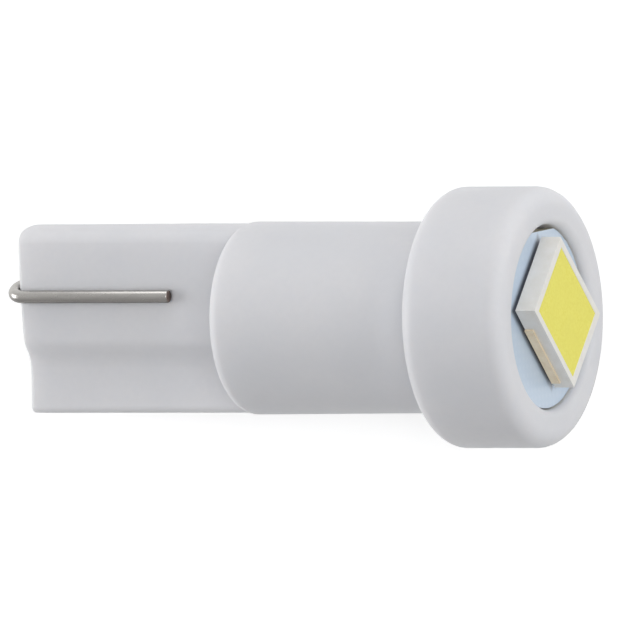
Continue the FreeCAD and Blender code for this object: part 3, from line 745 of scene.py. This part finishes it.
def wire_mesh(name, half_turn):
    path = wire_path(WIRE_LEG_END, WIRE_INNER_END)
    end, forward = path.pop()
    stations = [(spot, direction, WIRE_RADIUS) for spot, direction in path]
    stations += [(end - forward * WIRE_NIP, forward, WIRE_RADIUS),
                 (end - forward * WIRE_NIP / 3, forward, WIRE_RADIUS - WIRE_NIP / 3),
                 (end, forward, WIRE_RADIUS - WIRE_NIP)]
    mesh = tube_mesh(name, stations, half_turn)
    smooth(mesh, SMALL_CREASE)
    return mesh


def make_wires():
    for end, half_turn in (("front", False), ("rear", True)):
        name = "tinned_wire_" + end
        add_piece(name, wire_mesh(name, half_turn), ["contact_wire_" + end], "tinned_wire")


# What lies under the LED's terminals

def led_point(x, y, z, half_turn):
    """A point of the LED's frame in the bulb's frame; the second pole is the first's twin."""
    if half_turn:
        y, z = -y, -z
    return Vector((RIM - BOARD_DEPTH + x,
                   LED_OFF_Y + y * math.cos(LED_TURN) - z * math.sin(LED_TURN),
                   y * math.sin(LED_TURN) + z * math.cos(LED_TURN)))


def bar_mesh(name, sections, half_turn):
    """A bar through sections (y, [(x, z), ...]) set one after another along the LED."""
    mesh = ring_mesh(name, [[led_point(x, y, z, half_turn) for x, z in profile]
                            for y, profile in sections])
    smooth(mesh, SMALL_CREASE)
    return mesh


def tapered(low, high, taper):
    """Places (y, inset) from low to high; both ends are drawn in by taper."""
    return ((low, taper), (low + taper, 0), (high - taper, 0), (high, taper))


def pad_sections():
    """A pad with bevelled upper edges that ends under the terminal."""
    return [(y, [(0, PAD_INNER), (0, PAD_END - inset),
                 (COPPER_THICK - PAD_BEVEL, PAD_END - inset),
                 (COPPER_THICK, PAD_END - PAD_BEVEL - inset),
                 (COPPER_THICK, PAD_INNER)])
            for y, inset in tapered(PAD_LOW, PAD_HIGH, PAD_BEVEL)]


def solder_sections():
    """Solder between pad and terminal; its outer face draws in as a parabola."""
    sections = []
    for y, inset in tapered(SOLDER_LOW, SOLDER_HIGH, SOLDER_END_TAPER):
        profile = [(COPPER_THICK, PAD_INNER)]
        for step in range(FILLET_STEPS + 1):
            share = step / FILLET_STEPS
            draw = SOLDER_NECK * 4 * share * (1 - share)
            profile.append((COPPER_THICK + (LED_STANDOFF - COPPER_THICK) * share,
                            SOLDER_END - draw - inset))
        profile.append((LED_STANDOFF, PAD_INNER))
        sections.append((y, profile))
    return sections


def make_led_joints():
    for pole, half_turn in (("anode", False), ("cathode", True)):
        pad = bar_mesh("led_pad_" + pole, pad_sections(), half_turn)
        add_piece("led_pad_" + pole, pad, ["copper_front_" + pole], "copper")
        joint = bar_mesh("led_joint_" + pole, solder_sections(), half_turn)
        add_piece("led_joint_" + pole, joint, ["led_solder_" + pole], "solder")


# Stage, light and camera

def line_of_sight():
    """Screen right, screen up and the direction to the camera, as world vectors."""
    facing = ACROSS * math.sin(VIEW_ROLL) + OUTWARD * math.cos(VIEW_ROLL)
    rise = ACROSS * math.cos(VIEW_ROLL) - OUTWARD * math.sin(VIEW_ROLL)
    toward = ALONG * math.cos(VIEW_ANGLE) + facing * math.sin(VIEW_ANGLE)
    right = ALONG * math.sin(VIEW_ANGLE) - facing * math.cos(VIEW_ANGLE)
    level = right * math.cos(SCREEN_ROLL) - rise * math.sin(SCREEN_ROLL)
    upright = rise * math.cos(SCREEN_ROLL) + right * math.sin(SCREEN_ROLL)
    return level, upright, toward


RIGHT, UP, TOWARD = line_of_sight()

# Each lamp's direction from the bulb, its width in metres and the share of white that it
# adds to a white face turned to it
LAMPS = (
    ("top_lamp", UP + TOWARD * 0.2, 0.25, 0.42),
    ("left_lamp", -RIGHT - TOWARD * 0.15, 0.20, 0.79),
    ("right_lamp", RIGHT + TOWARD * 0.7 + UP * 0.25, 0.20, 0.32),
    ("front_lamp", TOWARD + RIGHT * 0.15, 0.15, 0.25),
)


def make_camera():
    """Sets the camera and gives the point that it looks at."""
    camera = bpy.data.cameras.new("camera")
    camera.sensor_width = SENSOR
    camera.lens = FOCAL_PIXELS / PIXELS * SENSOR
    holder = bpy.data.objects.new("camera", camera)
    bpy.context.scene.collection.objects.link(holder)
    target = BULB @ Vector((VIEW_CENTRE, 0, 0)) + UP * VIEW_RISE * MM
    distance = FOCAL_PIXELS * MM_PER_PIXEL * MM
    turn = Matrix((RIGHT, UP, TOWARD)).transposed().to_4x4()
    holder.matrix_world = Matrix.Translation(target + TOWARD * distance) @ turn
    camera.clip_start = distance / CLIP_NEAR
    camera.clip_end = distance * CLIP_FAR
    bpy.context.scene.camera = holder
    return target


def soft_box(target, name, direction, width, share):
    """A square lamp, hidden from the camera."""
    lamp = bpy.data.lights.new(name, "AREA")
    lamp.shape = "SQUARE"
    lamp.size = width
    lamp.energy = share * math.pi ** 2 * LIGHT_DISTANCE ** 2
    holder = bpy.data.objects.new(name, lamp)
    bpy.context.scene.collection.objects.link(holder)
    away = direction.normalized()
    turn = away.to_track_quat("Z", "Y").to_matrix().to_4x4()
    holder.matrix_world = Matrix.Translation(target + away * LIGHT_DISTANCE) @ turn
    holder.visible_camera = False


def shown_ray(tree):
    """1 for rays that show the surroundings: to the camera, off gloss and through glass."""
    path = add_node(tree, "LightPath")
    first = maths(tree, "MAXIMUM", path.outputs["Is Camera Ray"], path.outputs["Is Glossy Ray"])
    return maths(tree, "MAXIMUM", first, path.outputs["Is Transmission Ray"])


def make_world():
    """Surroundings that show as white and light the bulb evenly, but less."""
    world = bpy.data.worlds.new("tent")
    bpy.context.scene.world = world
    world.use_nodes = True
    tree = world.node_tree
    background = tree.nodes["Background"]
    background.inputs["Color"].default_value = (1, 1, 1, 1)
    strength = add_node(tree, "MapRange", {"Value": shown_ray(tree), "To Min": WORLD_LEVEL,
                                           "To Max": 1.0})
    tree.links.new(strength.outputs["Result"], background.inputs["Strength"])


def floor_white():
    """White paper that glows where it shows, so that it comes out as white."""
    material = bpy.data.materials.new("floor_white")
    material.use_nodes = True
    tree = material.node_tree
    tree.nodes.remove(tree.nodes["Principled BSDF"])
    paper = noise(tree, object_place(tree), PAPER_GRAIN)
    matt = add_node(tree, "BsdfDiffuse", {"Color": shaded(tree, paper, PAPER_PAIR)})
    glow = add_node(tree, "Emission", {"Color": (1, 1, 1, 1)})
    strength = maths(tree, "MULTIPLY", shown_ray(tree), FLOOR_GLOW)
    tree.links.new(strength, glow.inputs["Strength"])
    total = add_node(tree, "AddShader", {0: matt.outputs[0], 1: glow.outputs[0]})
    tree.links.new(total.outputs[0], tree.nodes["Material Output"].inputs["Surface"])
    return material


def make_floor():
    """A floor that shows as white and keeps a faint shadow."""
    mesh = bpy.data.meshes.new("floor")
    half = FLOOR_HALF
    mesh.from_pydata([(-half, -half, 0), (half, -half, 0), (half, half, 0), (-half, half, 0)],
                     [], [(0, 1, 2, 3)])
    mesh.materials.append(floor_white())
    floor = bpy.data.objects.new("floor", mesh)
    bpy.context.scene.collection.objects.link(floor)


def main():
    dress()
    make_housing()
    make_wires()
    make_led_joints()
    soften(nodes["led_frame"], *LED_FRAME_ROUND)
    for name in ("led_terminal_anode", "led_terminal_cathode"):
        soften(nodes[name], *TERMINAL_ROUND)
    target = make_camera()
    make_world()
    for lamp in LAMPS:
        soft_box(target, *lamp)
    make_floor()
    bpy.context.scene.view_settings.view_transform = "Standard"


main()
